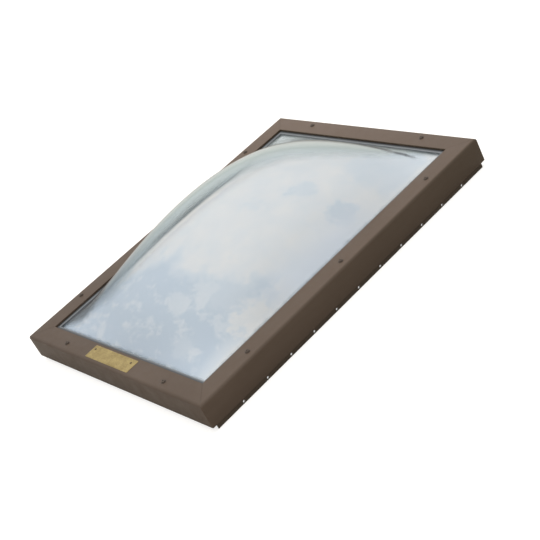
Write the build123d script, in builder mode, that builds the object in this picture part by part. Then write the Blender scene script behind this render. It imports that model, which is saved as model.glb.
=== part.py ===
import os
from math import cos, radians, sin

from build123d import *

# A fixed roof skylight: two blown acrylic domes held in an aluminium frame that sits on a timber curb.
# Millimetres. The origin is the middle of the base, X runs across the width, Y along the length, Z is up.

# The timber curb that the skylight sits on
curb_width = 648.0
curb_length = 851.0
curb_wall = 38.0
curb_play = 7.0

# Retainer: folded sheet with a skirt, a top flange and an inner lip, mitred and welded at the corners
sheet = 2.0
skirt_height = 59.0
flange_width = 50.0
lip_drop = 5.0
edge_radius = 7.5
lip_radius = 1.2

# Curb frame: four mitred extrusions with a leg, a hollow seat, a screw boss and a condensation gutter
rail_wall = 2.0
leg_reach = 12.0
leg_gap = 1.0
leg_setback = 11.5
short_leg_lift = 2.0
seat_height = 12.0
boss_width = 11.0
slot_depth = 13.0
gutter_width = 12.0
gutter_depth = 8.0
gutter_wall = 1.5
web_place = 27.0

# Holes along the bottom of the long legs
leg_hole_radius = 2.4
leg_hole_pitch = 70.4
leg_hole_count = 11
leg_hole_height = 4.7

# Corner keys inside the mitres
key_arm = 62.0
key_play = 0.1

# Glazing, listed from the top of the stack to its bottom
wing_thickness = 1.5
wing_reach = 9.0
wing_bevel = 0.9
outer_thickness = 3.0
spacer_height = 3.0
spacer_width = 17.0
inner_thickness = 3.0
tape_height = 1.5
tape_width = 16.0
rim_gap = 1.0
rim_inset = 1.5
dome_start = 10.0
outer_rise = 145.0
inner_rise = 95.0
dome_fullness = 0.2

# Foam strips between the seat and the curb
seal_height = 3.0
seal_margin = 2.0

# Screws that hold the retainer down
screw_line = 21.0
screw_radius = 2.1
screw_length = 14.0
screw_hole_play = 0.4
slot_play = 0.1
head_radius = 4.3
head_height = 3.0
recess_width = 1.3
recess_span = 4.8
recess_depth = 1.4
washer_radius = 5.6
washer_height = 1.0
long_side_spacing = 284.0
short_side_spacing = 377.0

# Bare plate riveted to the front flange
plate_length = 164.0
plate_width = 36.0
plate_thickness = 0.8
plate_radius = 2.0
plate_shift = -13.0
plate_edge = 8.0
rivet_spacing = 139.0
rivet_shift = -15.5
rivet_edge = 33.0
rivet_radius = 1.6
rivet_head_radius = 2.6
rivet_head_height = 1.0
rivet_head_edge = 0.3
rivet_short = 0.2
rivet_play = 0.1

# Plan sizes that follow
side_stack = curb_play + rail_wall + leg_gap + sheet
frame_width = curb_width + 2 * side_stack
frame_length = curb_length + 2 * side_stack
half_width = frame_width / 2
half_length = frame_length / 2
leg_outer = sheet + leg_gap
leg_inner = leg_outer + rail_wall
seat_inner = side_stack + curb_wall
rim_outer = screw_line + boss_width / 2 + rim_gap
rim_inner = flange_width + dome_start

# Heights that follow, from the top of the flange down to the curb
frame_top = leg_reach + skirt_height
flange_under = frame_top - sheet
lip_bottom = frame_top - lip_drop
outer_top = lip_bottom - wing_thickness
outer_under = outer_top - outer_thickness
inner_top = outer_under - spacer_height
inner_under = inner_top - inner_thickness
seat_top = inner_under - tape_height
seat_under = seat_top - seat_height
seal_under = seat_under - seal_height


def side_plane(angle, reach):
    """Section plane at the middle of one side: local x runs inward from the outer face, local y is up."""
    outward = (cos(radians(angle)), sin(radians(angle)))
    return Plane(
        origin=(reach * outward[0], reach * outward[1], 0),
        x_dir=(-outward[0], -outward[1], 0),
        z_dir=(-outward[1], outward[0], 0),
    )


def mitre_planes(angle, reach, half_run):
    """The two 45 degree planes that cut the ends of one side."""
    side = side_plane(angle, reach)
    inward = side.x_dir
    along = side.z_dir
    return [
        Plane(origin=side.origin + along * half_run, z_dir=inward + along),
        Plane(origin=side.origin - along * half_run, z_dir=inward - along),
    ]


def ring_path():
    """The outer outline of the frame, started at the middle of its right side."""
    with BuildLine() as outline:
        Polyline(
            (half_width, 0),
            (half_width, half_length),
            (-half_width, half_length),
            (-half_width, -half_length),
            (half_width, -half_length),
            close=True,
        )
    return outline.line


def strip_ring(near, far, low, high):
    """A flat rectangular ring between two insets from the outer face."""
    with BuildPart() as ring:
        with BuildSketch(Plane.XY.offset(low)):
            Rectangle(frame_width - 2 * near, frame_length - 2 * near)
            Rectangle(frame_width - 2 * far, frame_length - 2 * far, mode=Mode.SUBTRACT)
        extrude(amount=high - low)
    return ring


# The four sides: name, direction they face, distance to their outer face, half their run
sides = [
    ("right", 0, half_width, half_length),
    ("back", 90, half_length, half_width),
    ("left", 180, half_width, half_length),
    ("front", 270, half_length, half_width),
]

# Where the screws stand on the flange
screw_places = [
    (side * (half_width - screw_line), step * long_side_spacing)
    for side in (-1, 1)
    for step in (-1, 0, 1)
]
screw_places += [
    (step * short_side_spacing / 2, side * (half_length - screw_line))
    for side in (-1, 1)
    for step in (-1, 1)
]

rivet_places = [
    (rivet_shift + step * rivet_spacing / 2, rivet_edge - half_length)
    for step in (-1, 1)
]

# Retainer: four mitred lengths of the folded section, welded into one cap frame
for name, angle, reach, half_run in sides:
    with BuildPart() as retainer:
        with BuildSketch(side_plane(angle, reach)) as cap_section:
            with BuildLine():
                Polyline(
                    (0, leg_reach),
                    (0, frame_top),
                    (flange_width, frame_top),
                    (flange_width, lip_bottom),
                    (flange_width - sheet, lip_bottom),
                    (flange_width - sheet, flange_under),
                    (sheet, flange_under),
                    (sheet, leg_reach),
                    close=True,
                )
            make_face()
            for corner, radius in (
                ((0, frame_top), edge_radius),
                ((sheet, flange_under), edge_radius - sheet),
                ((flange_width, frame_top), lip_radius),
            ):
                fillet(cap_section.vertices().sort_by_distance(corner)[0], radius)
        extrude(amount=half_run, both=True)
        for cut in mitre_planes(angle, reach, half_run):
            split(bisect_by=cut, keep=Keep.BOTTOM)
        with Locations(Plane.XY.offset(frame_top)):
            with Locations(*screw_places):
                Hole(screw_radius + screw_hole_play, 2 * sheet)
            with Locations(*rivet_places):
                Hole(rivet_radius + rivet_play, 2 * sheet)
    retainer.part.label = "retainer_" + name
    export_step(retainer.part, "parts/retainer_" + name + ".step")


def curb_rail(angle, reach, half_run, leg_bottom):
    """One mitred extrusion of the curb frame."""
    boss_near = screw_line - boss_width / 2
    boss_far = screw_line + boss_width / 2
    gutter_far = seat_inner + gutter_width
    gutter_floor = seat_under + gutter_wall
    slot_width = 2 * (screw_radius + slot_play)
    with BuildPart() as rail:
        with BuildSketch(side_plane(angle, reach)):
            with BuildLine():
                Polyline(
                    (leg_outer, leg_bottom),
                    (leg_outer, seat_top),
                    (boss_near, seat_top),
                    (boss_near, flange_under),
                    (boss_far, flange_under),
                    (boss_far, seat_top),
                    (seat_inner, seat_top),
                    (seat_inner, gutter_floor),
                    (gutter_far - gutter_wall, gutter_floor),
                    (gutter_far - gutter_wall, seat_under + gutter_depth),
                    (gutter_far, seat_under + gutter_depth),
                    (gutter_far, seat_under),
                    (leg_inner, seat_under),
                    (leg_inner, leg_bottom),
                    close=True,
                )
            make_face()
            # Two hollow cells under the seat, with a web between them
            cell_height = seat_height - 2 * rail_wall
            cell_low = seat_under + rail_wall
            for near, far in ((leg_inner, web_place - rail_wall), (web_place, seat_inner - rail_wall)):
                with Locations((near, cell_low)):
                    Rectangle(far - near, cell_height, align=(Align.MIN, Align.MIN), mode=Mode.SUBTRACT)
            with Locations((screw_line, flange_under)):
                Rectangle(slot_width, slot_depth, align=(Align.CENTER, Align.MAX), mode=Mode.SUBTRACT)
        extrude(amount=half_run, both=True)
        for cut in mitre_planes(angle, reach, half_run):
            split(bisect_by=cut, keep=Keep.BOTTOM)
    return rail


# The side rails carry the legs that show below the skirt, so their legs are notched at both ends and holed
long_leg_bottom = 0.0
short_leg_bottom = leg_reach + short_leg_lift
leg_holes = {"right": 1, "left": -1}
for name, angle, reach, half_run in sides:
    is_long = name in leg_holes
    rail = curb_rail(angle, reach, half_run, long_leg_bottom if is_long else short_leg_bottom)
    if is_long:
        facing = leg_holes[name]
        with BuildPart(mode=Mode.PRIVATE) as leg_cuts:
            for end in (-1, 1):
                with Locations((facing * half_width, end * half_length, 0)):
                    Box(4 * leg_inner, 2 * leg_setback, 2 * short_leg_bottom)
            face_plane = Plane(
                origin=(facing * (half_width - leg_outer), 0, leg_hole_height),
                x_dir=(0, 1, 0),
                z_dir=(facing, 0, 0),
            )
            with Locations(face_plane):
                with GridLocations(leg_hole_pitch, leg_hole_pitch, leg_hole_count, 1):
                    Cylinder(leg_hole_radius, 4 * rail_wall)
        rail.part = rail.part - leg_cuts.part
    rail.part.label = "rail_" + name
    export_step(rail.part, "parts/rail_" + name + ".step")

# Corner keys: flat angles pushed into the outer cells across each mitre
key_near = leg_inner + key_play
key_far = web_place - rail_wall - key_play
key_low = seat_under + rail_wall
key_height = seat_height - 2 * rail_wall - key_play
for corner, side_x, side_y in (
    ("front_left", -1, -1), ("front_right", 1, -1), ("back_left", -1, 1), ("back_right", 1, 1),
):
    with BuildPart() as corner_key:
        with BuildSketch(Plane.XY.offset(key_low)):
            with BuildLine():
                outline = [
                    (key_near, key_near), (key_near, key_near + key_arm), (key_far, key_near + key_arm),
                    (key_far, key_far), (key_near + key_arm, key_far), (key_near + key_arm, key_near),
                ]
                Polyline(
                    *[(side_x * (half_width - x), side_y * (half_length - y)) for x, y in outline],
                    close=True,
                )
            make_face()
        extrude(amount=key_height)
    corner_key.part.label = "corner_key_" + corner
    export_step(corner_key.part, "parts/corner_key_" + corner + ".step")

# Foam strips under the seat, mitred at the corners
for name, angle, reach, half_run in sides:
    with BuildPart() as curb_seal:
        with BuildSketch(side_plane(angle, reach)):
            with Locations((side_stack + seal_margin, seal_under)):
                Rectangle(curb_wall - 2 * seal_margin, seal_height, align=(Align.MIN, Align.MIN))
        extrude(amount=half_run, both=True)
        for cut in mitre_planes(angle, reach, half_run):
            split(bisect_by=cut, keep=Keep.BOTTOM)
    curb_seal.part.label = "curb_seal_" + name
    export_step(curb_seal.part, "parts/curb_seal_" + name + ".step")


def blown_dome(rise, top, thickness):
    """One sheet with a flat rim and a free-blown dome: a quartic bulge each way, exact at its straight foot."""
    reach_x = half_width - rim_inner
    reach_y = half_length - rim_inner
    shoulder = 1 + dome_fullness
    crown = (16 - 8 * shoulder) / 6
    swell = [0, shoulder, crown, shoulder, 0]
    steps = range(len(swell))
    last = len(swell) - 1
    net = [
        [
            (reach_x * (2 * i / last - 1), reach_y * (2 * j / last - 1), top + rise * swell[i] * swell[j])
            for j in steps
        ]
        for i in steps
    ]
    with BuildPart() as dome:
        with BuildSketch(Plane.XY.offset(top - thickness)):
            Rectangle(frame_width - 2 * rim_outer, frame_length - 2 * rim_outer)
            Rectangle(2 * reach_x, 2 * reach_y, mode=Mode.SUBTRACT)
        extrude(amount=thickness)
        extrude(Face.make_bezier_surface(net), amount=thickness, dir=(0, 0, -1))
    return dome


outer_dome = blown_dome(outer_rise, outer_top, outer_thickness)
outer_dome.part.label = "outer_dome"
export_step(outer_dome.part, "parts/outer_dome.step")

inner_dome = blown_dome(inner_rise, inner_top, inner_thickness)
inner_dome.part.label = "inner_dome"
export_step(inner_dome.part, "parts/inner_dome.step")

# Soft rings between the sheets and under them
dome_spacer = strip_ring(rim_outer + rim_inset, rim_outer + rim_inset + spacer_width, inner_top, outer_under)
dome_spacer.part.label = "dome_spacer"
export_step(dome_spacer.part, "parts/dome_spacer.step")

bed_tape = strip_ring(rim_outer + rim_inset, rim_outer + rim_inset + tape_width, seat_top, inner_under)
bed_tape.part.label = "bed_tape"
export_step(bed_tape.part, "parts/bed_tape.step")

# Glazing gasket: a block under the flange with a thin wing that shows inside the lip
with BuildPart() as glazing_gasket:
    with BuildSketch(side_plane(0, half_width)):
        with BuildLine():
            Polyline(
                (rim_outer, outer_top),
                (rim_outer, flange_under),
                (flange_width - sheet, flange_under),
                (flange_width - sheet, lip_bottom),
                (flange_width + wing_reach - wing_bevel, lip_bottom),
                (flange_width + wing_reach, lip_bottom - wing_bevel),
                (flange_width + wing_reach, outer_top),
                close=True,
            )
        make_face()
    sweep(path=ring_path(), transition=Transition.RIGHT)
glazing_gasket.part.label = "glazing_gasket"
export_step(glazing_gasket.part, "parts/glazing_gasket.step")

# Sealing washers and pan-head screws
with BuildPart() as screw_washers:
    with BuildSketch(Plane.XY.offset(frame_top)):
        with Locations(*screw_places):
            Circle(washer_radius)
            Circle(screw_radius + slot_play, mode=Mode.SUBTRACT)
    extrude(amount=washer_height)
screw_washers.part.label = "screw_washers"
export_step(screw_washers.part, "parts/screw_washers.step")

head_base = frame_top + washer_height
with BuildPart(mode=Mode.PRIVATE) as pan_screw:
    with BuildSketch(Plane.XZ):
        with BuildLine():
            Polyline(
                (0, head_height),
                (0, -screw_length),
                (screw_radius, screw_radius - screw_length),
                (screw_radius, 0),
                (head_radius, 0),
                (head_radius, head_height / 2),
            )
            TangentArc((0, head_height), (head_radius, head_height / 2), tangent=(1, 0))
        make_face()
    revolve(axis=Axis.Z)
    with Locations((0, 0, head_height)):
        Box(recess_span, recess_width, 2 * recess_depth, mode=Mode.SUBTRACT)
        Box(recess_width, recess_span, 2 * recess_depth, mode=Mode.SUBTRACT)

with BuildPart() as retainer_screws:
    with Locations(Plane.XY.offset(head_base)):
        with Locations(*screw_places):
            add(pan_screw.part)
retainer_screws.part.label = "retainer_screws"
export_step(retainer_screws.part, "parts/retainer_screws.step")

# Bare plate and its two rivets
with BuildPart() as label_plate:
    with BuildSketch(Plane.XY.offset(frame_top)):
        with Locations((plate_shift, plate_edge + plate_width / 2 - half_length)):
            RectangleRounded(plate_length, plate_width, plate_radius)
        with Locations(*rivet_places):
            Circle(rivet_radius + rivet_play, mode=Mode.SUBTRACT)
    extrude(amount=plate_thickness)
label_plate.part.label = "label_plate"
export_step(label_plate.part, "parts/label_plate.step")

plate_top = frame_top + plate_thickness
rivet_tail = plate_thickness + sheet - rivet_short
with BuildPart(mode=Mode.PRIVATE) as blind_rivet:
    with BuildSketch(Plane.XZ):
        with BuildLine():
            Polyline(
                (0, rivet_head_height),
                (0, -rivet_tail),
                (rivet_radius, -rivet_tail),
                (rivet_radius, 0),
                (rivet_head_radius, 0),
                (rivet_head_radius, rivet_head_edge),
            )
            TangentArc((0, rivet_head_height), (rivet_head_radius, rivet_head_edge), tangent=(1, 0))
        make_face()
    revolve(axis=Axis.Z)

with BuildPart() as label_rivets:
    with Locations(Plane.XY.offset(plate_top)):
        with Locations(*rivet_places):
            add(blind_rivet.part)
label_rivets.part.label = "label_rivets"
export_step(label_rivets.part, "parts/label_rivets.step")
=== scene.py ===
import math

import bmesh
import bpy
from mathutils import Matrix, Vector


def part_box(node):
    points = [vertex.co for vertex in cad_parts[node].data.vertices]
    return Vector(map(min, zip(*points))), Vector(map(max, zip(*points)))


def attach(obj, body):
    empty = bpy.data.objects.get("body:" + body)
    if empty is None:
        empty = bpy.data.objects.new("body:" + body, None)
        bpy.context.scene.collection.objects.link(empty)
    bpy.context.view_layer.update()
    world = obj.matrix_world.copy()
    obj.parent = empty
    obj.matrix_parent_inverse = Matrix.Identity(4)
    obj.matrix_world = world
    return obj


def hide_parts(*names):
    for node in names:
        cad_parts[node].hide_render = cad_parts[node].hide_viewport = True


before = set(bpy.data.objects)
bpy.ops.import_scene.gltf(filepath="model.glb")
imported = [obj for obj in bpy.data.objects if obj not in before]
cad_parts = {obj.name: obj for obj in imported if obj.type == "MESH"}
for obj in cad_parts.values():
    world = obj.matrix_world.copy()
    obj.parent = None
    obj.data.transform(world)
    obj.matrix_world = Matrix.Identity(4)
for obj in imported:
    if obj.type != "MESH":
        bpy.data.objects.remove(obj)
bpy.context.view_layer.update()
print("frame loaded:", len(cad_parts), "nodes")

mm = 0.001
tiny = 1e-7             # metres: nearer than this, two points are one
sharpest = 0.05 * mm    # the smallest corner radius that a ring keeps
domeFoot = 60.0 * mm    # where the domes' bulge starts, in from the outer face

# the cap frame's outer faces and heights, from the solids
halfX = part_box("retainer_right")[1][0]
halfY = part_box("retainer_back")[1][1]
skirtBottom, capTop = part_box("retainer_right")[0][2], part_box("retainer_right")[1][2]


def linkObject(name, data):
    thing = bpy.data.objects.new(name, data)
    bpy.context.collection.objects.link(thing)
    return thing


# camera, matched to the photograph
viewpoint = {
    "place": (2.2198, -1.19042, 1.41077),
    "right": (0.626621, 0.662936, -0.409711),
    "down": (0.1586, -0.623202, -0.76581),
    "forward": (-0.763016, 0.414892, -0.495653),
    "lens": 85.278,
    "sensor": 36.0,
    "farthest": 50.0,
}


def makeCamera(v):
    cameraData = bpy.data.cameras.new("viewCamera")
    cameraData.lens = v["lens"]
    cameraData.sensor_width = v["sensor"]
    cameraData.clip_end = v["farthest"]
    camera = linkObject("viewCamera", cameraData)
    axes = Matrix((v["right"], [-n for n in v["down"]], [-n for n in v["forward"]])).transposed()
    camera.rotation_mode = "QUATERNION"
    camera.rotation_quaternion = axes.to_quaternion()
    camera.location = v["place"]
    bpy.context.scene.camera = camera


makeCamera(viewpoint)
print("camera placed")


# small helpers for node trees
def makeMaterial(name):
    material = bpy.data.materials.new(name)
    material.use_nodes = True
    tree = material.node_tree
    shader = tree.nodes["Principled BSDF"]
    return material, tree, shader


def addNode(tree, kind, **values):
    node = tree.nodes.new(kind)
    for key, value in values.items():
        if key in node.inputs:
            node.inputs[key].default_value = value
        else:
            setattr(node, key, value)
    return node


def join(tree, source, target):
    tree.links.new(source, target)


def objectSpace(tree, scale=(1, 1, 1)):
    coords = addNode(tree, "ShaderNodeTexCoord")
    mapping = addNode(tree, "ShaderNodeMapping", Scale=scale)
    join(tree, coords.outputs["Object"], mapping.inputs["Vector"])
    return mapping.outputs["Vector"]


def noise(tree, vector, scale, detail=3.0, roughness=0.55):
    node = addNode(tree, "ShaderNodeTexNoise", Scale=scale, Detail=detail, Roughness=roughness)
    join(tree, vector, node.inputs["Vector"])
    return node.outputs["Fac"]


def colourRamp(tree, factor, stops):
    ramp = addNode(tree, "ShaderNodeValToRGB")
    while len(ramp.color_ramp.elements) < len(stops):
        ramp.color_ramp.elements.new(0.5)
    for element, (place, colour) in zip(ramp.color_ramp.elements, stops):
        element.position = place
        element.color = (*colour, 1)
    join(tree, factor, ramp.inputs["Fac"])
    return ramp.outputs["Color"]


def valueRange(tree, factor, fromLow, fromHigh, toLow, toHigh):
    node = addNode(tree, "ShaderNodeMapRange")
    node.inputs["From Min"].default_value = fromLow
    node.inputs["From Max"].default_value = fromHigh
    node.inputs["To Min"].default_value = toLow
    node.inputs["To Max"].default_value = toHigh
    join(tree, factor, node.inputs["Value"])
    return node.outputs["Result"]


def mathNode(tree, operation, first, second=None, clamp=False):
    node = addNode(tree, "ShaderNodeMath", operation=operation, use_clamp=clamp)
    for socket, value in zip(node.inputs, (first, second)):
        if value is None:
            continue
        if isinstance(value, (int, float)):
            socket.default_value = value
        else:
            join(tree, value, socket)
    return node.outputs["Value"]


def times(tree, first, *others):
    for other in others:
        first = mathNode(tree, "MULTIPLY", first, other)
    return first


def plus(tree, first, second):
    return mathNode(tree, "ADD", first, second)


def minus(tree, first, second):
    return mathNode(tree, "SUBTRACT", first, second)


def larger(tree, first, *others):
    for other in others:
        first = mathNode(tree, "MAXIMUM", first, other)
    return first


# inputs 6 and 7 and output 2 of the Mix node are the ones for colours
def mixColour(tree, factor, first, second):
    node = addNode(tree, "ShaderNodeMix", data_type="RGBA")
    sockets = [node.inputs["Factor"], node.inputs[6], node.inputs[7]]
    for socket, value in zip(sockets, (factor, first, second)):
        if isinstance(value, (int, float)):
            socket.default_value = value
        elif isinstance(value, tuple):
            socket.default_value = (*value, 1)
        else:
            join(tree, value, socket)
    return node.outputs[2]


def addBump(tree, shader, height, strength, distance, after=None):
    bump = addNode(tree, "ShaderNodeBump", Strength=strength, Distance=distance)
    join(tree, height, bump.inputs["Height"])
    if after is not None:
        join(tree, after, bump.inputs["Normal"])
    join(tree, bump.outputs["Normal"], shader.inputs["Normal"])
    return bump.outputs["Normal"]


def axisParts(tree, vector):
    parts = addNode(tree, "ShaderNodeSeparateXYZ")
    join(tree, vector, parts.inputs["Vector"])
    return parts.outputs


# how far in a point lies from the nearer side of a rectangle round the origin
def insetFrom(tree, place, halfWidth, halfLength):
    fromSide = minus(tree, halfWidth, mathNode(tree, "ABSOLUTE", place["X"]))
    fromEnd = minus(tree, halfLength, mathNode(tree, "ABSOLUTE", place["Y"]))
    return mathNode(tree, "MINIMUM", fromSide, fromEnd)


# painted bronze of the cap frame: satin paint with a fine orange peel, paler on worn edges,
# with painted light on the top and painted shade on the skirt
# a light or shade row gives where it starts and ends, in metres, and its share at each
bronzeLook = {
    "dark": (0.082, 0.055, 0.036),
    "mid": (0.103, 0.070, 0.048),
    "pale": (0.124, 0.087, 0.062),
    "litTop": (0.163, 0.113, 0.081),
    "shadedSkirt": (0.050, 0.033, 0.014),
    "lightAlong": (-0.38, 0.05, 0.0, 0.28),
    "lightAtBack": (0.15, 0.42, 0.0, 0.45),
    "lightToLeft": (0.15, -0.20, 0.15, 1.0),
    "skirtShadeAlong": (-0.40, 0.40, 0.07, 0.52),
    "wornEdges": (0.52, 0.60, 0.0, 0.5),
    "roughness": (0.38, 0.54),
    "gloss": 0.32,
    "streaksToBroad": (0.35, 0.65),
    "broadSize": 3.2,
    "streakSize": 9.0,
    "smudgeSize": 26.0,
    "peelSize": 900.0,
    "waveSize": 40.0,
}


def bronzePaint(look):
    material, tree, shader = makeMaterial("satinBronzePaint")
    space = objectSpace(tree)
    broad = noise(tree, space, look["broadSize"], 4.0, 0.6)
    streaks = noise(tree, objectSpace(tree, (1, 1, 7)), look["streakSize"], 5.0, 0.6)
    streakShare, broadShare = look["streaksToBroad"]
    blend = plus(tree, times(tree, broad, broadShare), times(tree, streaks, streakShare))
    colour = colourRamp(tree, blend, [(0.22, look["dark"]), (0.5, look["mid"]), (0.78, look["pale"])])
    geometry = addNode(tree, "ShaderNodeNewGeometry")
    facing = axisParts(tree, geometry.outputs["True Normal"])
    upward = valueRange(tree, facing["Z"], 0.70, 0.95, 0.0, 1.0)
    # painted light: the top is lighter towards the back, most of all at the back left, where the light falls
    place = axisParts(tree, space)
    lightAlong = valueRange(tree, place["Y"], *look["lightAlong"])
    lightAtBack = valueRange(tree, place["Y"], *look["lightAtBack"])
    lightToLeft = valueRange(tree, place["X"], *look["lightToLeft"])
    topLight = times(tree, plus(tree, lightAlong, times(tree, lightAtBack, lightToLeft)), upward)
    litTop = mixColour(tree, topLight, colour, look["litTop"])
    # painted shade: the skirt is darker, most of all towards the back
    skirtShade = times(tree, valueRange(tree, place["Y"], *look["skirtShadeAlong"]), minus(tree, 1.0, upward))
    litAndShaded = mixColour(tree, skirtShade, litTop, look["shadedSkirt"])
    worn = valueRange(tree, geometry.outputs["Pointiness"], *look["wornEdges"])
    join(tree, mixColour(tree, worn, litAndShaded, look["pale"]), shader.inputs["Base Color"])
    smudge = noise(tree, space, look["smudgeSize"], 4.0, 0.65)
    join(tree, valueRange(tree, smudge, 0.3, 0.7, *look["roughness"]), shader.inputs["Roughness"])
    shader.inputs["Specular IOR Level"].default_value = look["gloss"]
    peel = noise(tree, space, look["peelSize"], 2.0, 0.5)
    waves = noise(tree, space, look["waveSize"], 2.0, 0.5)
    first = addBump(tree, shader, peel, 0.12, 0.2 * mm)
    addBump(tree, shader, waves, 0.10, 0.6 * mm, after=first)
    return material


# curb rail: the same paint, painted darker as shade, with drawn lines from the extrusion die
shadedRailLook = {
    "dark": (0.056, 0.040, 0.026),
    "mid": (0.074, 0.054, 0.036),
    "pale": (0.094, 0.070, 0.049),
    "roughness": (0.42, 0.60),
    "gloss": 0.3,
    "lineSize": 700.0,
    "lineStretch": 0.02,
}


def shadedRailPaint(look, alongY, name):
    material, tree, shader = makeMaterial(name)
    drawn = look["lineStretch"]
    stretch = (1, drawn, 1) if alongY else (drawn, 1, 1)
    lines = noise(tree, objectSpace(tree, stretch), look["lineSize"], 2.0, 0.5)
    broad = noise(tree, objectSpace(tree), 6.0, 4.0, 0.6)
    blend = plus(tree, times(tree, broad, 0.7), times(tree, lines, 0.3))
    colour = colourRamp(tree, blend, [(0.3, look["dark"]), (0.5, look["mid"]), (0.72, look["pale"])])
    join(tree, colour, shader.inputs["Base Color"])
    join(tree, valueRange(tree, lines, 0.3, 0.7, *look["roughness"]), shader.inputs["Roughness"])
    shader.inputs["Specular IOR Level"].default_value = look["gloss"]
    addBump(tree, shader, lines, 0.15, 0.0001)
    return material


# plan coordinates (x, y, 0), made ragged by a curling noise
def raggedPlan(tree, size, reach):
    curl = addNode(tree, "ShaderNodeTexNoise", Scale=size, Detail=8.0, Roughness=0.68)
    join(tree, objectSpace(tree), curl.inputs["Vector"])
    shift = addNode(tree, "ShaderNodeVectorMath", operation="SUBTRACT")
    join(tree, curl.outputs["Color"], shift.inputs[0])
    shift.inputs[1].default_value = (0.5, 0.5, 0.5)
    warp = addNode(tree, "ShaderNodeVectorMath", operation="MULTIPLY_ADD")
    join(tree, shift.outputs["Vector"], warp.inputs[0])
    warp.inputs[1].default_value = (reach, reach, 0)
    join(tree, objectSpace(tree, (1, 1, 0)), warp.inputs[2])
    return warp.outputs["Vector"]


# spots (x, y, radius, strength) on a plan, with crinkled edges
def raggedSpots(tree, space, spots, crinkleSize, crinkleReach):
    fine = noise(tree, objectSpace(tree), crinkleSize, 9.0, 0.74)
    crinkle = valueRange(tree, fine, 0.3, 0.7, -crinkleReach, crinkleReach)
    total = 0.0
    for x, y, radius, strength in spots:
        away = addNode(tree, "ShaderNodeVectorMath", operation="DISTANCE")
        join(tree, space, away.inputs[0])
        away.inputs[1].default_value = (x, y, 0)
        edge = plus(tree, away.outputs["Value"], crinkle)
        total = larger(tree, total, valueRange(tree, edge, radius * 0.70, radius * 1.05, strength, 0.0))
    return total


# clear acrylic of the outer dome: see-through from above, grey-green where the sheet is seen edge on,
# and paler there with a painted reflection
# a place row gives where it starts and ends, in metres from the middle, and its share at each
clearLook = {
    "face": (0.38, 0.43, 0.44),
    "side": (0.405, 0.452, 0.435),
    "edge": (0.54, 0.575, 0.55),
    "darkFootAndReflection": (0.108, 0.116, 0.120),
    "frontLeftShade": (0.175, 0.210, 0.240),
    "alphaFace": 0.05,
    "alphaSide": 0.86,
    "alphaEdge": 0.95,
    "shadeToFront": (-0.06, -0.28, 0.0, 0.9),
    "shadeToLeft": (-0.06, -0.16, 0.0, 1.0),
    "footClears": (0.068, 0.108, 0.40, 1.0),
    "footLine": (1.0 * mm, 5.0 * mm, 0.24, 0.0),
    "footWander": (-1.0 * mm, 2.0 * mm),
    "reflectionDrift": 22.0 * mm,
    "frameReflectionAtLeft": (-0.185, -0.225, 0.0, 0.70),
    "frameReflectionToFront": (-0.16, -0.26, 0.0, 1.0),
    "lipReflectionStart": (0.330, 0.341, 0.0, 0.75),
    "lipReflectionEnd": (0.347, 0.353, 1.0, 0.0),
    "lipReflectionToRight": (0.02, 0.12, 0.0, 1.0),
    "darkeningCover": 1.8,
    "hazeSize": 5.0,
    "footSize": 60.0,
    "reflectionSize": 30.0,
    "streakSize": 40.0,
    "wipeSize": 14.0,
    "roughness": (0.02, 0.07),
    "ior": 1.49,
    "gloss": 0.06,
}


# a thin darker line round the foot, and painted reflections of the dark frame and lip that show
# at a low angle: a patch at the front left and streaks along the back
def domeFootDarkening(tree, look, space, place, slope):
    inset = insetFrom(tree, place, halfX - domeFoot, halfY - domeFoot)
    footNoise = noise(tree, space, look["footSize"], 5.0, 0.6)
    wander = valueRange(tree, footNoise, 0.3, 0.7, *look["footWander"])
    line = valueRange(tree, plus(tree, inset, wander), *look["footLine"])
    drift = look["reflectionDrift"]
    reflectionWander = valueRange(tree, noise(tree, space, look["reflectionSize"], 6.0, 0.65), 0.3, 0.7, -drift, drift)
    left = valueRange(tree, plus(tree, place["X"], reflectionWander), *look["frameReflectionAtLeft"])
    left = times(tree, left, valueRange(tree, place["Y"], *look["frameReflectionToFront"]))
    streaks = noise(tree, objectSpace(tree, (0.35, 1, 1)), look["streakSize"], 5.0, 0.6)
    back = valueRange(tree, streaks, 0.46, 0.54, 0.0, 1.0)
    for axis, row in (("Y", "lipReflectionStart"), ("Y", "lipReflectionEnd"), ("X", "lipReflectionToRight")):
        back = times(tree, back, valueRange(tree, place[axis], *look[row]))
    lowAngle = valueRange(tree, slope, 0.50, 0.68, 0.0, 1.0)
    return larger(tree, times(tree, larger(tree, left, back), lowAngle), line)


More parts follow.
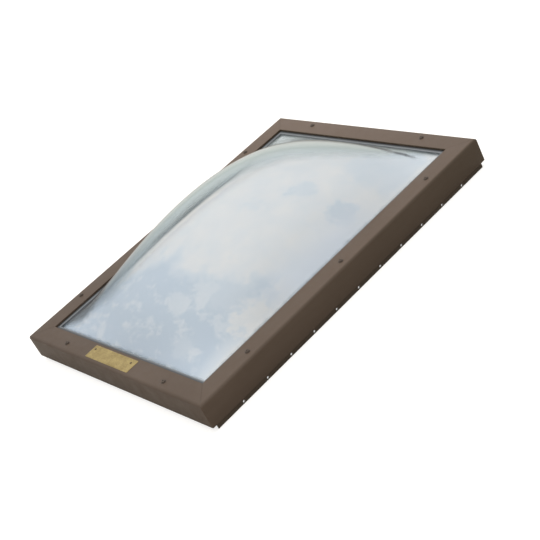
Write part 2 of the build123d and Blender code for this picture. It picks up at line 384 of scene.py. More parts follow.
def clearAcrylic(look):
    material, tree, shader = makeMaterial("clearBlownAcrylic")
    space = objectSpace(tree)
    place = axisParts(tree, space)
    slope = addNode(tree, "ShaderNodeLayerWeight", Blend=0.5).outputs["Facing"]
    haze = noise(tree, space, look["hazeSize"], 4.0, 0.6)
    tone = plus(tree, slope, valueRange(tree, haze, 0.3, 0.7, -0.03, 0.03))
    clean = colourRamp(tree, tone, [(0.60, look["face"]), (0.80, look["side"]), (0.97, look["edge"])])
    # painted shade: the clear sheet is darker towards the front left
    towardsFront = valueRange(tree, place["Y"], *look["shadeToFront"])
    towardsLeft = valueRange(tree, place["X"], *look["shadeToLeft"])
    shadedFrontLeft = mixColour(tree, times(tree, towardsFront, towardsLeft), clean, look["frontLeftShade"])
    # the darker foot line and the painted reflections of frame and lip, laid over the colour and the alpha
    darkening = domeFootDarkening(tree, look, space, place, slope)
    darkeningShare = mathNode(tree, "MULTIPLY", darkening, look["darkeningCover"], clamp=True)
    join(tree, mixColour(tree, darkeningShare, shadedFrontLeft, look["darkFootAndReflection"]), shader.inputs["Base Color"])
    low = valueRange(tree, tone, 0.56, 0.80, look["alphaFace"], look["alphaSide"])
    high = valueRange(tree, tone, 0.80, 1.0, 0.0, look["alphaEdge"] - look["alphaSide"])
    foot = valueRange(tree, place["Z"], *look["footClears"])
    sheer = times(tree, mathNode(tree, "ADD", low, high, clamp=True), foot)
    join(tree, larger(tree, sheer, darkening), shader.inputs["Alpha"])
    wipes = noise(tree, objectSpace(tree, (1, 0.4, 1)), look["wipeSize"], 5.0, 0.6)
    join(tree, valueRange(tree, wipes, 0.3, 0.7, *look["roughness"]), shader.inputs["Roughness"])
    shader.inputs["IOR"].default_value = look["ior"]
    shader.inputs["Specular IOR Level"].default_value = look["gloss"]
    return material


# pale acrylic of the inner dome: a milky sheet whose colour is a painted reflection of a cloudy sky,
# bluer at the front, with a bank, puffs and wisps of painted cloud
# a place row gives where it starts and ends, in metres from the middle, and its share at each
# a puff or gap is (x, y, radius, strength)
paleLook = {
    "blue": (0.445, 0.500, 0.560),
    "grey": (0.535, 0.570, 0.600),
    "white": (0.630, 0.622, 0.605),
    "litRightBlue": (0.625, 0.665, 0.715),
    "rising": (-0.1586, 0.6232, 0.7658),
    "driftSize": 4.6,
    "driftReach": 0.075,
    "reflectedCloudBank": (-0.030, 0.012, 0.0, 0.92),
    "warpSize": 13.0,
    "warpReach": 0.105,
    "crinkleSize": 42.0,
    "crinkleReach": 0.015,
    "puffs": [(0.245, -0.205, 0.052, 1.0), (0.262, -0.105, 0.045, 0.95), (0.118, -0.215, 0.034, 0.60),
              (0.070, -0.255, 0.030, 0.55), (0.170, -0.185, 0.060, 0.35), (0.150, -0.330, 0.030, 0.25)],
    "gaps": [(0.218, 0.114, 0.036, 0.75), (0.105, 0.125, 0.026, 0.40), (0.205, 0.290, 0.100, 0.42),
             (0.040, 0.030, 0.030, 0.25)],
    "wispSize": 20.0,
    "wisps": (0.515, 0.60, 0.0, 0.55),
    "mottleSize": 15.0,
    "mottle": (0.28, 0.72, 0.58, 1.14),
    "rightSideHighlight": (0.225, 0.272, 0.0, 1.0),
    "litToRight": (0.195, 0.252, 0.0, 0.9),
    "litStart": (-0.17, -0.08, 0.0, 1.0),
    "litEnd": (0.05, 0.20, 1.0, 0.0),
    "roughness": 0.16,
    "ior": 1.49,
    "gloss": 0.25,
    "milk": 0.1,
}


def paleAcrylic(look):
    material, tree, shader = makeMaterial("paleBlownAcrylic")
    space = objectSpace(tree)
    place = axisParts(tree, space)
    # rising is the view's upward direction, across which the edge of the painted cloud bank lies
    reach = addNode(tree, "ShaderNodeVectorMath", operation="DOT_PRODUCT")
    join(tree, space, reach.inputs[0])
    reach.inputs[1].default_value = look["rising"]
    drift = noise(tree, space, look["driftSize"], 8.0, 0.62)
    swing = valueRange(tree, drift, 0.25, 0.75, -look["driftReach"], look["driftReach"])
    reflectedCloudBank = valueRange(tree, plus(tree, reach.outputs["Value"], swing), *look["reflectedCloudBank"])
    ragged = raggedPlan(tree, look["warpSize"], look["warpReach"])
    crinkle = look["crinkleSize"], look["crinkleReach"]
    thinned = times(tree, reflectedCloudBank, minus(tree, 1.0, raggedSpots(tree, ragged, look["gaps"], *crinkle)))
    puffs = raggedSpots(tree, ragged, look["puffs"], *crinkle)
    # painted highlight: whiter towards the right edge
    rightSideHighlight = valueRange(tree, place["X"], *look["rightSideHighlight"])
    feathers = noise(tree, objectSpace(tree, (1, 1.5, 1)), look["wispSize"], 9.0, 0.72)
    mask = larger(tree, thinned, puffs, rightSideHighlight, valueRange(tree, feathers, *look["wisps"]))
    specks = noise(tree, space, look["mottleSize"], 9.0, 0.74)
    mottle = valueRange(tree, specks, *look["mottle"])
    stops = [(0.0, look["blue"]), (0.5, look["grey"]), (1.0, look["white"])]
    colour = colourRamp(tree, times(tree, mask, mottle), stops)
    # painted light: a paler blue on the right side, from the front to the middle
    rightLight = valueRange(tree, place["X"], *look["litToRight"])
    for row in ("litStart", "litEnd"):
        rightLight = times(tree, rightLight, valueRange(tree, place["Y"], *look[row]))
    join(tree, mixColour(tree, rightLight, colour, look["litRightBlue"]), shader.inputs["Base Color"])
    shader.inputs["Roughness"].default_value = look["roughness"]
    shader.inputs["IOR"].default_value = look["ior"]
    shader.inputs["Specular IOR Level"].default_value = look["gloss"]
    shader.inputs["Subsurface Weight"].default_value = look["milk"]
    shader.inputs["Subsurface Radius"].default_value = (0.02, 0.02, 0.02)
    return material


# soft goods: gasket rubber, foam tapes
def softRubber(name, dark, pale, grain, roughness):
    material, tree, shader = makeMaterial(name)
    space = objectSpace(tree)
    fine = noise(tree, space, grain, 4.0, 0.6)
    colour = colourRamp(tree, fine, [(0.3, dark), (0.7, pale)])
    join(tree, colour, shader.inputs["Base Color"])
    join(tree, valueRange(tree, fine, 0.3, 0.7, roughness, roughness + 0.15), shader.inputs["Roughness"])
    addBump(tree, shader, fine, 0.25, 0.0003)
    return material


def brushedMetal(name, dark, pale, stretch, roughness, grain=900.0, metal=1.0):
    material, tree, shader = makeMaterial(name)
    lines = noise(tree, objectSpace(tree, stretch), grain, 3.0, 0.6)
    patches = noise(tree, objectSpace(tree), 45.0, 4.0, 0.6)
    blend = plus(tree, times(tree, lines, 0.5), times(tree, patches, 0.5))
    colour = colourRamp(tree, blend, [(0.32, dark), (0.68, pale)])
    join(tree, colour, shader.inputs["Base Color"])
    shader.inputs["Metallic"].default_value = metal
    join(tree, valueRange(tree, lines, 0.3, 0.7, roughness, roughness + 0.18), shader.inputs["Roughness"])
    addBump(tree, shader, lines, 0.2, 0.0001)
    return material


frameBronze = bronzePaint(bronzeLook)
shadedRailBronzeLong = shadedRailPaint(shadedRailLook, True, "shadedRailPaintLong")
shadedRailBronzeShort = shadedRailPaint(shadedRailLook, False, "shadedRailPaintShort")
clearDomePlastic = clearAcrylic(clearLook)
paleDomePlastic = paleAcrylic(paleLook)

# soft goods: dark tone, pale tone, grain, roughness
tapeFoam = softRubber("blackTapeFoam", (0.012, 0.012, 0.012), (0.035, 0.034, 0.033), 900.0, 0.75)
sealFoam = softRubber("charcoalSealFoam", (0.030, 0.030, 0.031), (0.070, 0.069, 0.068), 700.0, 0.80)
washerRubber = softRubber("washerRubber", (0.072, 0.054, 0.041), (0.104, 0.080, 0.062), 800.0, 0.60)

# metals: dark tone, pale tone, stretch of the grain, roughness, grain, metallic share
even = (1, 1, 1)
keyAluminium = brushedMetal("millAluminium", (0.50, 0.50, 0.50), (0.72, 0.72, 0.72), (1, 1, 12), 0.34)
screwBronze = brushedMetal(
    "darkScrewCoat", (0.088, 0.064, 0.048), (0.138, 0.104, 0.080), even, 0.46, 1200.0, 0.25)
plateGold = brushedMetal(
    "brushedGoldFoil", (0.225, 0.150, 0.045), (0.50, 0.375, 0.150), (0.6, 1, 1), 0.36, 480.0, 0.3)
rivetDark = brushedMetal("darkRivetSteel", (0.10, 0.075, 0.045), (0.20, 0.15, 0.09), even, 0.38, 1200.0, 0.7)
rimAluminium = brushedMetal("bareRimAluminium", (0.32, 0.31, 0.29), (0.50, 0.49, 0.46), even, 0.5, 900.0, 0.2)
print("materials made")


# mesh helpers
def meshFrom(bm, name, outward=True):
    if outward:
        bmesh.ops.recalc_face_normals(bm, faces=bm.faces)
    mesh = bpy.data.meshes.new(name)
    bm.to_mesh(mesh)
    bm.free()
    return mesh


def smoothPiece(name, mesh, smoothAngle=35.0):
    mesh.name = name
    piece = linkObject(name, mesh)
    mesh.polygons.foreach_set("use_smooth", [True] * len(mesh.polygons))
    mesh.set_sharp_from_angle(angle=math.radians(smoothAngle))
    return piece


def finishMesh(name, mesh, material, smoothAngle=35.0):
    mesh.materials.append(material)
    piece = smoothPiece(name, mesh, smoothAngle)
    mesh.update()
    return piece


# walls between two closed rings of vertices
def bridgeRings(bm, first, second):
    count = len(first)
    for j in range(count):
        k = (j + 1) % count
        bm.faces.new((first[j], first[k], second[k], second[j]))


def evaluatedMesh(thing):
    graph = bpy.context.evaluated_depsgraph_get()
    return bpy.data.meshes.new_from_object(thing.evaluated_get(graph), depsgraph=graph)


def arcPoints(centre, radius, start, end, count):
    turn = [math.radians(start + (end - start) * i / count) for i in range(count + 1)]
    return [(centre[0] + radius * math.cos(t), centre[1] + radius * math.sin(t)) for t in turn]


# a rectangle with rounded corners, drawn in by an inset
def planRing(halfWidth, halfLength, inset, cornerRadius, count):
    radius = max(cornerRadius - inset, sharpest)
    x, y = halfWidth - inset - radius, halfLength - inset - radius
    ring = []
    for k, (sx, sy) in enumerate(((1, 1), (-1, 1), (-1, -1), (1, -1))):
        ring += arcPoints((sx * x, sy * y), radius, 90 * k, 90 * k + 90, count)
    return ring


# sweeps a closed section of (inset, height) points round the rectangle, mitred at the corners
def sweepRing(name, section, halfWidth, halfLength, material, cornerRadius, cornerSteps):
    bm = bmesh.new()
    rings = []
    for inset, height in section:
        plan = planRing(halfWidth, halfLength, inset, cornerRadius, cornerSteps)
        rings.append([bm.verts.new((x, y, height)) for x, y in plan])
    for ring, following in zip(rings, rings[1:] + rings[:1]):
        bridgeRings(bm, ring, following)
    return finishMesh(name, meshFrom(bm, name), material)


sideAngles = {"right": 0, "back": 90, "left": 180, "front": 270}

# cap frame: the folded section in four lengths, with a fine weld line on each mitre
capSizes = {
    "sheet": 2.0 * mm,
    "flange": 50.0 * mm,
    "lip": 5.0 * mm,
    "edgeRadius": 7.5 * mm,
    "lipRadius": 1.2 * mm,
    "cornerRadius": 2.4 * mm,
    "hem": 0.5 * mm,
    "weldWidth": 0.5 * mm,
    "weldDepth": 0.25 * mm,
    "outerSteps": 10,
    "innerSteps": 8,
    "lipSteps": 5,
}


def capSection(s):
    sheet, flange, edge, hem = s["sheet"], s["flange"], s["edgeRadius"], s["hem"]
    lip, lipBottom = s["lipRadius"], capTop - s["lip"]
    points = [(hem * 0.3, skirtBottom + hem * 0.3), (0, skirtBottom + hem)]
    points += arcPoints((edge, capTop - edge), edge, 180, 90, s["outerSteps"])
    points += arcPoints((flange - lip, capTop - lip), lip, 90, 0, s["lipSteps"])
    points += [(flange, lipBottom + hem), (flange - hem, lipBottom), (flange - sheet + hem, lipBottom)]
    points += [(flange - sheet, lipBottom + hem), (flange - sheet, capTop - sheet)]
    points += arcPoints((edge, capTop - edge), edge - sheet, 90, 180, s["innerSteps"])
    points += [(sheet, skirtBottom + hem), (sheet - hem, skirtBottom), (hem, skirtBottom)]
    return points


# a closed section drawn in by a small depth along its own normals (the section runs clockwise)
def shrinkSection(points, depth):
    shrunk = []
    for i, here in enumerate(points):
        before, after = Vector(points[i - 1]), Vector(points[(i + 1) % len(points)])
        run = after - before
        if run.length < tiny:
            shrunk.append(here)
            continue
        run.normalize()
        shrunk.append((here[0] + run.y * depth, here[1] - run.x * depth))
    return shrunk


# one mitred length: u points outward, v runs along the side
def mitredLength(name, section, angle, reach, halfRun, s, material):
    bm = bmesh.new()
    cosA, sinA = round(math.cos(math.radians(angle))), round(math.sin(math.radians(angle)))
    inner = shrinkSection(section, s["weldDepth"])
    # stations: which end, turn round its corner in degrees, full section or the weld's bottom
    stations = [(-1, -45, False), (-1, -45, True), (-1, -30, True), (-1, -15, True), (-1, 0, True)]
    stations += [(1, 0, True), (1, 15, True), (1, 30, True), (1, 45, True), (1, 45, False)]
    rings = []
    for end, turn, full in stations:
        ring = []
        for inset, height in (section if full else inner):
            radius = max(s["cornerRadius"] - inset, sharpest)
            u = reach - inset - radius + radius * math.cos(math.radians(turn))
            v = end * (halfRun - inset - radius) + radius * math.sin(math.radians(turn))
            if full and abs(turn) == 45:
                v -= end * s["weldWidth"] / 2
            ring.append(bm.verts.new((u * cosA - v * sinA, u * sinA + v * cosA, height)))
        rings.append(ring)
    for first, second in zip(rings, rings[1:]):
        bridgeRings(bm, first, second)
    bm.faces.new(rings[0])
    bm.faces.new(list(reversed(rings[-1])))
    return finishMesh(name, meshFrom(bm, name), material)


for side, angle in sideAngles.items():
    reach, halfRun = (halfX, halfY) if side in ("right", "left") else (halfY, halfX)
    capPiece = mitredLength("cap_" + side, capSection(capSizes), angle, reach, halfRun, capSizes, frameBronze)
    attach(capPiece, "root")
    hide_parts("retainer_" + side)
print("cap frame made")

# glazing gasket: block under the flange and a soft wing with a rolled edge
lowGasket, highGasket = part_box("glazing_gasket")
gasketSizes = {
    "blockNear": halfX - highGasket[0],
    "blockFar": 48.0 * mm,
    "wingFar": 59.0 * mm,
    "wingTop": capTop - capSizes["lip"],
    "wingFlat": 5.0 * mm,
    "roll": 1.2 * mm,
    "rollSteps": 5,
    "cornerRadius": 0.1 * mm,
    "cornerSteps": 2,
}
gasketLook = {
    "tones": [(0.10, (0.020, 0.019, 0.018)), (0.48, (0.085, 0.087, 0.088)), (0.80, (0.190, 0.195, 0.200))],
    "shadeAlongLip": (49.0 * mm, 60.0 * mm, 0.0, 1.0),
    "grain": 420.0,
    "roughness": (0.50, 0.65),
}


# grey rubber with painted shade: darker along the lip, paler towards the rolled edge
def lipShadedRubber(look):
    material, tree, shader = makeMaterial("greyGasketRubber")
    space = objectSpace(tree)
    inset = insetFrom(tree, axisParts(tree, space), halfX, halfY)
    fine = noise(tree, space, look["grain"], 4.0, 0.6)
    spread = valueRange(tree, inset, *look["shadeAlongLip"])
    tone = plus(tree, spread, valueRange(tree, fine, 0.3, 0.7, -0.06, 0.06))
    join(tree, colourRamp(tree, tone, look["tones"]), shader.inputs["Base Color"])
    join(tree, valueRange(tree, fine, 0.3, 0.7, *look["roughness"]), shader.inputs["Roughness"])
    addBump(tree, shader, fine, 0.25, 0.0003)
    return material


def gasketSection(s):
    low, high, top, roll = lowGasket[2], highGasket[2], s["wingTop"], s["roll"]
    points = [(s["blockNear"], low), (s["blockNear"], high), (s["blockFar"], high), (s["blockFar"], top)]
    points += [(s["wingFar"] - s["wingFlat"], top)]
    points += arcPoints((s["wingFar"] - roll, top - roll), roll, 90, 0, s["rollSteps"])
    points += [(s["wingFar"], low)]
    return points


gasketRubber = lipShadedRubber(gasketLook)
gasket = sweepRing("greyGasket", gasketSection(gasketSizes), halfX, halfY, gasketRubber,
                   gasketSizes["cornerRadius"], gasketSizes["cornerSteps"])
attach(gasket, "root")
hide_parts("glazing_gasket")
print("gasket made")


# Geometry Nodes tree helpers: a new tree with named inputs, its closing nodes, and a run on a mesh
def newTree(name, inputs):
    tree = bpy.data.node_groups.new(name, "GeometryNodeTree")
    tree.interface.new_socket(name="Geometry", in_out="OUTPUT", socket_type="NodeSocketGeometry")
    sockets = {}
    for label, kind in inputs:
        kind = "NodeSocket" + kind
        sockets[label] = tree.interface.new_socket(name=label, in_out="INPUT", socket_type=kind)
    return tree, sockets, tree.nodes.new("NodeGroupInput").outputs


def closeTree(tree, entry, geometry):
    realize = tree.nodes.new("GeometryNodeRealizeInstances")
    join(tree, geometry, realize.inputs["Geometry"])
    finish = tree.nodes.new("GeometryNodeSetMaterial")
    join(tree, realize.outputs["Geometry"], finish.inputs["Geometry"])
    join(tree, entry["Material"], finish.inputs["Material"])
    join(tree, finish.outputs["Geometry"], tree.nodes.new("NodeGroupOutput").inputs[0])


def runTree(name, tree, sockets, values, baseMesh, smoothAngle=35.0):
    carrier = linkObject(name + "Carrier", baseMesh)
    modifier = carrier.modifiers.new("build", "NODES")
    modifier.node_group = tree
    for label, value in values.items():
        modifier[sockets[label].identifier] = value
    mesh = evaluatedMesh(carrier)
    carrier.modifiers.remove(modifier)
    bpy.data.objects.remove(carrier)
    return smoothPiece(name, mesh, smoothAngle)


# blown sheet: a grid lifted by a quartic swell each way, flat outside the dome's foot
def swellNodes(tree, coordinate, half, fullness):
    share = mathNode(tree, "DIVIDE", coordinate, half)
    square = times(tree, share, share)
    foot = larger(tree, minus(tree, 1.0, square), 0.0)
    return times(tree, foot, plus(tree, times(tree, square, fullness), 1.0))


def makeBlownTree():
    tree, sockets, entry = newTree("blownSheet", [
        ("Geometry", "Geometry"),
        ("Half width", "Float"),
        ("Half length", "Float"),
        ("Rise", "Float"),
        ("Fullness", "Float"),
        ("Material", "Material"),
    ])
    place = axisParts(tree, tree.nodes.new("GeometryNodeInputPosition").outputs["Position"])
    across = swellNodes(tree, place["X"], entry["Half width"], entry["Fullness"])
    along = swellNodes(tree, place["Y"], entry["Half length"], entry["Fullness"])
    offset = tree.nodes.new("ShaderNodeCombineXYZ")
    join(tree, times(tree, across, along, entry["Rise"]), offset.inputs["Z"])
    move = tree.nodes.new("GeometryNodeSetPosition")
    join(tree, entry["Geometry"], move.inputs["Geometry"])
    join(tree, offset.outputs["Vector"], move.inputs["Offset"])
    closeTree(tree, entry, move.outputs["Geometry"])
    return tree, sockets


# lines of a grid: even steps over the dome, then two lines for the flat rim on each side
def gridLines(foot, rim, steps):
    inner = [foot * (2 * i / steps - 1) for i in range(steps + 1)]
    return [-rim, -(rim + foot) / 2] + inner + [(rim + foot) / 2, rim]


# a flat sheet closed all round, whose two faces the tree lifts alike
def sheetBlank(name, foot, rim, top, thickness, steps):
    xs = gridLines(foot[0], rim[0], steps[0])
    ys = gridLines(foot[1], rim[1], steps[1])
    bm = bmesh.new()
    layers = []
    for height in (top, top - thickness):
        layers.append([[bm.verts.new((x, y, height)) for y in ys] for x in xs])
    upper, lower = layers
    for i in range(len(xs) - 1):
        for j in range(len(ys) - 1):
            bm.faces.new((upper[i][j], upper[i + 1][j], upper[i + 1][j + 1], upper[i][j + 1]))
            bm.faces.new((lower[i][j], lower[i][j + 1], lower[i + 1][j + 1], lower[i + 1][j]))
    last, end = len(xs) - 1, len(ys) - 1
    for i in range(last):
        bm.faces.new((upper[i][0], lower[i][0], lower[i + 1][0], upper[i + 1][0]))
        bm.faces.new((upper[i][end], upper[i + 1][end], lower[i + 1][end], lower[i][end]))
    for j in range(end):
        bm.faces.new((upper[0][j], upper[0][j + 1], lower[0][j + 1], lower[0][j]))
        bm.faces.new((upper[last][j], lower[last][j], lower[last][j + 1], upper[last][j + 1]))
    return meshFrom(bm, name)


domeSizes = {
    "thickness": 3.0 * mm,
    "fullness": 0.2,
    "steps": (120, 160),
    "smoothAngle": 50.0,
}
blownTree, blownSockets = makeBlownTree()


def makeDome(name, node, material, s):
    low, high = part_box(node)
    top = low[2] + s["thickness"]
    foot = (halfX - domeFoot, halfY - domeFoot)
    blank = sheetBlank(name + "Blank", foot, high[:2], top, s["thickness"], s["steps"])
    piece = runTree(name, blownTree, blownSockets, {
        "Half width": foot[0],
        "Half length": foot[1],
        "Rise": high[2] - top,
        "Fullness": s["fullness"],
        "Material": material,
    }, blank, s["smoothAngle"])
    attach(piece, "root")
    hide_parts(node)


makeDome("clearDome", "outer_dome", clearDomePlastic, domeSizes)
makeDome("paleDome", "inner_dome", paleDomePlastic, domeSizes)
print("domes blown")


# lathe: turns a profile of (radius, height) points about the z axis
def latheMesh(name, profile, count):
    bm = bmesh.new()
    rings = []
    for radius, height in profile:
        if radius < tiny:
            rings.append([bm.verts.new((0, 0, height))])
            continue
        turns = [2 * math.pi * i / count for i in range(count)]
        rings.append([bm.verts.new((radius * math.cos(t), radius * math.sin(t), height)) for t in turns])
    for a, b in zip(rings, rings[1:]):
        for j in range(count):
            k = (j + 1) % count
            corners = [a[j % len(a)], a[k % len(a)], b[k % len(b)], b[j % len(b)]]
            distinct = [v for i, v in enumerate(corners) if v not in corners[:i]]
            if len(distinct) > 2:
                bm.faces.new(distinct)
    return meshFrom(bm, name)


# places one fastener on each point, each turned by its own amount
def makeFastenerTree():
    tree, sockets, entry = newTree("fastenersOnPoints", [
        ("Geometry", "Geometry"),
        ("Fastener", "Object"),
        ("Turn", "Float"),
        ("Seed", "Int"),
        ("Size", "Float"),
        ("Material", "Material"),
    ])
    info = tree.nodes.new("GeometryNodeObjectInfo")
    join(tree, entry["Fastener"], info.inputs["Object"])
    turn = addNode(tree, "FunctionNodeRandomValue", data_type="FLOAT_VECTOR")
    low = tree.nodes.new("ShaderNodeCombineXYZ")
    high = tree.nodes.new("ShaderNodeCombineXYZ")
    join(tree, entry["Turn"], high.inputs["Z"])
    join(tree, low.outputs["Vector"], turn.inputs[0])
    join(tree, high.outputs["Vector"], turn.inputs[1])
    join(tree, entry["Seed"], turn.inputs["Seed"])
    spread = tree.nodes.new("GeometryNodeInstanceOnPoints")
    join(tree, entry["Geometry"], spread.inputs["Points"])
    join(tree, info.outputs["Geometry"], spread.inputs["Instance"])
    join(tree, turn.outputs[0], spread.inputs["Rotation"])
    join(tree, entry["Size"], spread.inputs["Scale"])
    closeTree(tree, entry, spread.outputs["Instances"])
    return tree, sockets


fastenerTree, fastenerSockets = makeFastenerTree()


def spreadFastener(name, pattern, points, turn, seed, material, node):
    pattern.materials.append(material)
    fastener = linkObject(name + "Pattern", pattern)
    cloud = bpy.data.meshes.new(name + "Points")
    cloud.from_pydata(points, [], [])
    piece = runTree(name, fastenerTree, fastenerSockets, {
        "Fastener": fastener,
        "Turn": turn,
        "Seed": seed,
        "Size": 1.0,
        "Material": material,
    }, cloud)
    bpy.data.objects.remove(fastener)
    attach(piece, "root")
    if node:
        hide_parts(node)


# retainer screws and their washers
screwSizes = {
    "line": 21.0 * mm,
    "longSpacing": 284.0 * mm,
    "shortSpacing": 377.0 * mm,
    "headRadius": 4.3 * mm,
    "headHeight": 3.0 * mm,
    "shankRadius": 2.1 * mm,
    "length": 14.0 * mm,
    "washerHeight": 1.0 * mm,
    "washerRadius": 5.6 * mm,
    "washerPlay": 0.05 * mm,
    "washerRoll": 0.35 * mm,
    "washerEdge": 0.1 * mm,
    "recessReach": 2.4 * mm,
    "recessHalf": 0.55 * mm,
    "recessDepth": 1.5 * mm,
    "crownAngle": 78.0,
    "crownSteps": 8,
    "rimHeight": 0.35,       # shares of the head's height and radius
    "footRadius": 0.97,
    "tip": 0.14,             # share of the length that tapers
    "facets": 28,
    "turn": math.pi / 2,
    "seed": 7,
}


def screwPoints(s, height):
    across, along = halfX - s["line"], halfY - s["line"]
    points = [(side * across, step * s["longSpacing"], height) for side in (-1, 1) for step in (-1, 0, 1)]
    points += [(step * s["shortSpacing"] / 2, side * along, height) for side in (-1, 1) for step in (-1, 1)]
    return points


# pan head with a cross recess, cut by a boolean
def screwPattern(s):
    radius, height, shank = s["headRadius"], s["headHeight"], s["shankRadius"]
    widest = math.sin(math.radians(s["crownAngle"]))
    profile = [(0, height)]
    for i in range(1, s["crownSteps"] + 1):
        t = math.radians(90 - s["crownAngle"] * i / s["crownSteps"])
        profile.append((radius * math.cos(t) / widest, height * (0.5 + 0.5 * math.sin(t))))
    profile += [(radius, height * s["rimHeight"]), (radius * s["footRadius"], 0.0), (shank, 0.0)]
    profile += [(shank, -s["length"] * (1 - s["tip"])), (0, -s["length"])]
    body = linkObject("screwBody", latheMesh("screwBody", profile, s["facets"]))
    bm = bmesh.new()
    for turn in (0, 90):
        made = bmesh.ops.create_cube(bm, size=1.0)
        size = Matrix.Diagonal((2 * s["recessReach"], 2 * s["recessHalf"], 2 * s["recessDepth"], 1))
        place = Matrix.Translation((0, 0, height)) @ Matrix.Rotation(math.radians(turn), 4, "Z") @ size
        bmesh.ops.transform(bm, matrix=place, verts=made["verts"])
    cutter = linkObject("recessCutter", meshFrom(bm, "recessCutter", outward=False))
    cut = body.modifiers.new("recess", "BOOLEAN")
    cut.operation = "DIFFERENCE"
    cut.solver = "EXACT"
    cut.use_self = True
    cut.object = cutter
    mesh = evaluatedMesh(body)
    bpy.data.objects.remove(body)
    bpy.data.objects.remove(cutter)
    return mesh


def washerProfile(s):
    inner, outer, height = s["shankRadius"] + s["washerPlay"], s["washerRadius"], s["washerHeight"]
    roll, edge = s["washerRoll"], s["washerEdge"]
    return [(inner, 0), (inner, height), (outer - roll, height), (outer - edge, height - 1.2 * edge),
            (outer, height - roll), (outer, edge), (outer - edge, 0), (inner, 0)]


screwPlaces = screwPoints(screwSizes, capTop + screwSizes["washerHeight"])
spreadFastener("capScrews", screwPattern(screwSizes), screwPlaces, screwSizes["turn"], screwSizes["seed"],
               screwBronze, "retainer_screws")
washerMesh = latheMesh("washerRing", washerProfile(screwSizes), screwSizes["facets"])
spreadFastener("capWashers", washerMesh, screwPoints(screwSizes, capTop), 0.0, 3,
               washerRubber, "screw_washers")
print("screws placed")

# bare gold plate with a raised border line, and its rivets
plateSizes = {
    "radius": 2.0 * mm,
    "leastRadius": 0.2 * mm,
    "cornerSteps": 6,
    "bevel": 0.25 * mm,
    "borderInset": 2.4 * mm,
    "borderWidth": 0.9 * mm,
    "borderRise": 0.22 * mm,
    "borderSlope": 0.15 * mm,
    "middleInset": 4.0 * mm,
    "rivetSpacing": 139.0 * mm,
    "rivetShift": -15.5 * mm,
    "rivetEdge": 33.0 * mm,
    "rivetRadius": 2.6 * mm,
    "rivetHeight": 1.0 * mm,
    "rivetShank": 1.6 * mm,
    "rivetLength": 2.5 * mm,
    "rivetRim": 0.15,        # share of the head's height that stands upright
    "rivetFacets": 24,
}


# the outline of a box drawn in by an inset, whose corners keep the least radius
def roundedOutline(low, high, inset, s):
    keep = max(s["radius"] - inset, s["leastRadius"])
    centreX, centreY = (low[0] + high[0]) / 2, (low[1] + high[1]) / 2
    halfWidth, halfLength = (high[0] - low[0]) / 2, (high[1] - low[1]) / 2
    ring = planRing(halfWidth, halfLength, inset, keep + inset, s["cornerSteps"])
    return [(centreX + x, centreY + y) for x, y in ring]


def makePlate(s):
    low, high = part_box("label_plate")
    base, top = low[2], high[2] - s["borderRise"]
    inset, width, bevel, slope = s["borderInset"], s["borderWidth"], s["bevel"], s["borderSlope"]
    raised = top + s["borderRise"]
    levels = [(0.0, base), (0.0, top - bevel), (bevel * 0.3, top - bevel * 0.3), (bevel, top)]
    levels += [(inset, top), (inset + slope, raised), (inset + width - slope, raised)]
    levels += [(inset + width, top), (inset + s["middleInset"], top)]
    bm = bmesh.new()
    rings = []
    for offset, height in levels:
        outline = roundedOutline(low, high, offset, s)
        rings.append([bm.verts.new((x, y, height)) for x, y in outline])
    for lower, upper in zip(rings, rings[1:]):
        bridgeRings(bm, lower, upper)
    bm.faces.new(rings[-1])
    bm.faces.new(list(reversed(rings[0])))
    plate = finishMesh("goldPlate", meshFrom(bm, "goldPlate"), plateGold, 40.0)
    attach(plate, "root")
    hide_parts("label_plate")
    return high[2]


def rivetProfile(s, steps=6):
    radius, height, rim, shank = s["rivetRadius"], s["rivetHeight"], s["rivetRim"], s["rivetShank"]
    profile = [(0, height)]
    for i in range(1, steps + 1):
        t = math.radians(90 - 90 * i / steps)
        profile.append((radius * math.cos(t), height * (rim + (1 - rim) * math.sin(t))))
    return profile + [(radius, 0.0), (shank, 0.0), (shank, -s["rivetLength"]), (0, -s["rivetLength"])]


def rivetPoints(s, height):
    middle, half = s["rivetShift"], s["rivetSpacing"] / 2
    return [(middle + step * half, s["rivetEdge"] - halfY, height) for step in (-1, 1)]


plateTop = makePlate(plateSizes)
rivetMesh = latheMesh("rivetHead", rivetProfile(plateSizes), plateSizes["rivetFacets"])
spreadFastener("plateRivets", rivetMesh, rivetPoints(plateSizes, plateTop), 0.0, 5,
               rivetDark, "label_rivets")
print("plate riveted")

# bare metal rims round the leg holes
rimSizes = {
    "count": 11,
    "pitch": 70.4 * mm,
    "height": 4.7 * mm,
    "inner": 2.4 * mm,
    "outer": 3.1 * mm,
    "stand": 0.15 * mm,
    "edge": 0.1 * mm,
    "facets": 24,
}


def rimMesh(s, facing):
    inner, outer, stand = s["inner"], s["outer"], s["stand"]
    profile = [(inner, 0), (inner, stand), (outer - s["edge"], stand), (outer, 0), (inner, 0)]
    mesh = latheMesh("holeRim", profile, s["facets"])
    mesh.transform(Matrix.Rotation(math.radians(90 * facing), 4, "Y"))
    return mesh


def makeRims(s):
    for name, facing, node in (("rightHoleRims", 1, "rail_right"), ("leftHoleRims", -1, "rail_left")):
        low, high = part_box(node)
        face = high[0] if facing > 0 else low[0]
        first = -(s["count"] - 1) / 2
        points = [(face, (first + i) * s["pitch"], s["height"]) for i in range(s["count"])]
        spreadFastener(name, rimMesh(s, facing), points, 0.0, 1, rimAluminium, None)


makeRims(rimSizes)
print("leg holes rimmed")

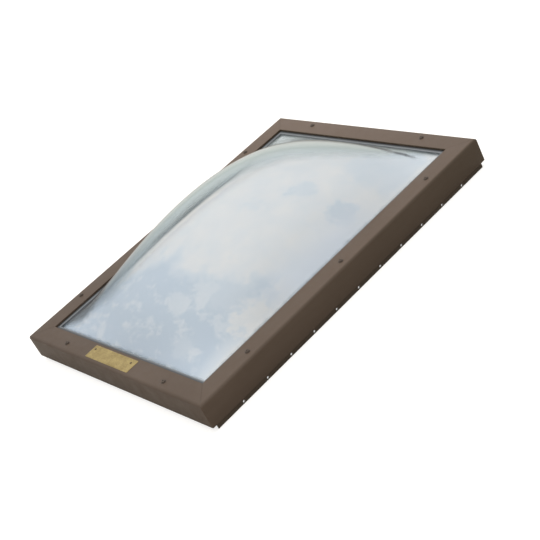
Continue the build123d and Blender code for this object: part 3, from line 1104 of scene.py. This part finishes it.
# the CAD nodes that stay, each with its finish
nodeFinishes = {
    "rail_right": shadedRailBronzeLong,
    "rail_left": shadedRailBronzeLong,
    "rail_front": shadedRailBronzeShort,
    "rail_back": shadedRailBronzeShort,
    "dome_spacer": tapeFoam,
    "bed_tape": tapeFoam,
}
for corner in ("front_left", "front_right", "back_left", "back_right"):
    nodeFinishes["corner_key_" + corner] = keyAluminium
for side in sideAngles:
    nodeFinishes["curb_seal_" + side] = sealFoam
for node, material in nodeFinishes.items():
    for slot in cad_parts[node].material_slots:
        slot.material = material
print("carried nodes finished")


# stage: pale floor that stays white to the camera and keeps a soft shadow
floorLook = {
    "half": 6.0,
    "colour": (0.46, 0.43, 0.39, 1),
    "glow": 0.72,
}


# one where a ray comes from the camera, straight or through a clear sheet
def seenDirectly(tree, path):
    straight, through = path.outputs["Is Camera Ray"], path.outputs["Is Transmission Ray"]
    return mathNode(tree, "ADD", straight, through, clamp=True)


def makeStage(look):
    bm = bmesh.new()
    bmesh.ops.create_grid(bm, x_segments=1, y_segments=1, size=look["half"])
    floor = linkObject("floor", meshFrom(bm, "floor", outward=False))
    material, tree, shader = makeMaterial("paleFloor")
    shader.inputs["Base Color"].default_value = look["colour"]
    shader.inputs["Roughness"].default_value = 0.9
    shader.inputs["Specular IOR Level"].default_value = 0.0
    shader.inputs["Emission Color"].default_value = (1, 1, 1, 1)
    glow = times(tree, seenDirectly(tree, addNode(tree, "ShaderNodeLightPath")), look["glow"])
    join(tree, glow, shader.inputs["Emission Strength"])
    floor.data.materials.append(material)


# world: soft light that is strongest overhead, white to the camera, a hazy sky for what is glossy
skyLook = {
    "light": (0.90, 0.93, 0.96),
    "low": (1.0, 0.86, 0.72),
    "horizon": 0.13,
    "zenith": 1.55,
    "blue": (0.46, 0.55, 0.65),
    "cloud": (0.84, 0.84, 0.83),
    "cloudSize": 3.2,
    "cloudEdge": (0.40, 0.62),
    "ground": (0.14, 0.11, 0.07),
}


def chooseShader(tree, factor, first, second):
    node = addNode(tree, "ShaderNodeMixShader")
    for socket, source in zip(node.inputs, (factor, first, second)):
        join(tree, source, socket)
    return node.outputs["Shader"]


def makeWorld(look):
    world = bpy.data.worlds.new("softSky")
    bpy.context.scene.world = world
    world.use_nodes = True
    tree = world.node_tree
    tree.nodes.clear()
    direction = addNode(tree, "ShaderNodeTexCoord").outputs["Generated"]
    height = axisParts(tree, direction)["Z"]
    puffs = noise(tree, direction, look["cloudSize"], 7.0, 0.58)
    sky = colourRamp(tree, puffs, list(zip(look["cloudEdge"], (look["blue"], look["cloud"]))))
    seen = mixColour(tree, valueRange(tree, height, -0.02, 0.10, 0.0, 1.0), look["ground"], sky)
    warmth = valueRange(tree, height, 0.05, 0.6, 0.0, 1.0)
    soft = addNode(tree, "ShaderNodeBackground")
    join(tree, mixColour(tree, warmth, look["low"], look["light"]), soft.inputs["Color"])
    join(tree, valueRange(tree, height, 0.0, 0.9, look["horizon"], look["zenith"]), soft.inputs["Strength"])
    shine = addNode(tree, "ShaderNodeBackground", Strength=1.0)
    join(tree, seen, shine.inputs["Color"])
    white = addNode(tree, "ShaderNodeBackground", Color=(1, 1, 1, 1), Strength=1.0)
    path = addNode(tree, "ShaderNodeLightPath")
    glossy = chooseShader(tree, path.outputs["Is Glossy Ray"], soft.outputs[0], shine.outputs[0])
    direct = chooseShader(tree, seenDirectly(tree, path), glossy, white.outputs[0])
    output = addNode(tree, "ShaderNodeOutputWorld")
    join(tree, direct, output.inputs["Surface"])


# lamps: one broad soft light high on the left and behind, one weak fill from the front
lamps = {
    "key": {"place": (-0.75, 0.70, 2.9), "size": 2.4, "power": 30.0, "colour": (1.0, 0.98, 0.95)},
    "fill": {"place": (0.4, -2.6, 1.4), "size": 2.2, "power": 3.0, "colour": (1.0, 0.97, 0.94)},
}
lampAim = Vector((0, 0, 0.05))


def makeLamps(rig):
    for name, lamp in rig.items():
        data = bpy.data.lights.new(name, "AREA")
        data.shape = "DISK"
        data.size = lamp["size"]
        data.energy = lamp["power"]
        data.color = lamp["colour"]
        light = linkObject(name, data)
        light.location = lamp["place"]
        light.rotation_mode = "QUATERNION"
        light.rotation_quaternion = (lampAim - Vector(lamp["place"])).to_track_quat("-Z", "Y")
        light.visible_glossy = False


makeStage(floorLook)
makeWorld(skyLook)
makeLamps(lamps)
bpy.context.scene.view_settings.view_transform = "Standard"
print("stage, world and lamps set")
